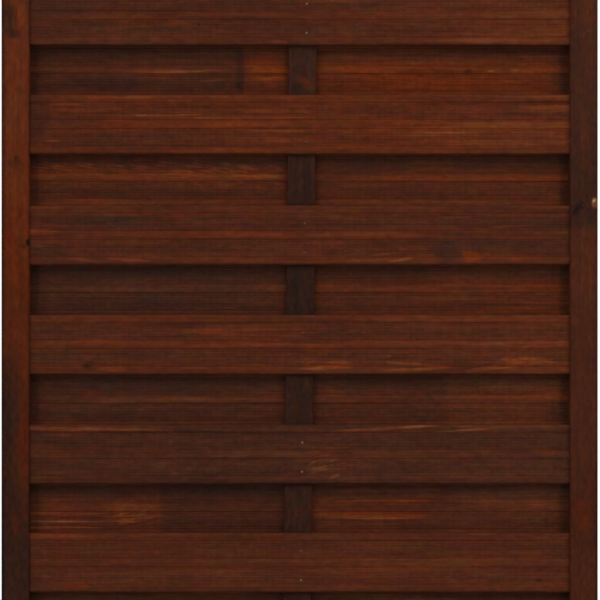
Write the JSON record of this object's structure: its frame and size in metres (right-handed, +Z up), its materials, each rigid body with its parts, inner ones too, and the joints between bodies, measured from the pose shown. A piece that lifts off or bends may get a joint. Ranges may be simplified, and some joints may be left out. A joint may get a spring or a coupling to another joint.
{
  "type": "fence panel",
  "caption": "Hit-and-miss timber fence panel: a grooved frame holds ribbed horizontal slats set alternately in front of and behind a centre batten.",
  "frame": {"origin": "middle of the panel's bottom edge, halfway through its depth", "axes": "+Z up, +X to the right as seen from the front, the front faces -Y"},
  "size_m": [0.9, 0.042, 1.8],
  "materials": {
    "frame_wood": "stained, matt",
    "slat_wood": "stained, matt",
    "batten_wood": "stained, matt",
    "nail_steel": "dull zinc",
    "screw_steel": "dull zinc"
  },
  "bodies": {
    "root": {"left_stile": "frame_wood", "right_stile": "frame_wood", "bottom_rail": "frame_wood", "top_rail": "frame_wood", "centre_batten": "batten_wood", "front_slat_01": "slat_wood", "front_slat_02": "slat_wood", "front_slat_03": "slat_wood", "front_slat_04": "slat_wood", "front_slat_05": "slat_wood", "front_slat_06": "slat_wood", "front_slat_07": "slat_wood", "front_slat_08": "slat_wood", "front_slat_09": "slat_wood", "front_slat_10": "slat_wood", "rear_slat_01": "slat_wood", "rear_slat_02": "slat_wood", "rear_slat_03": "slat_wood", "rear_slat_04": "slat_wood", "rear_slat_05": "slat_wood", "rear_slat_06": "slat_wood", "rear_slat_07": "slat_wood", "rear_slat_08": "slat_wood", "rear_slat_09": "slat_wood", "rear_slat_10": "slat_wood", "rear_slat_11": "slat_wood", "front_nails": "nail_steel", "rear_nails": "nail_steel", "corner_screws": "screw_steel"}
  },
  "joints": []
}
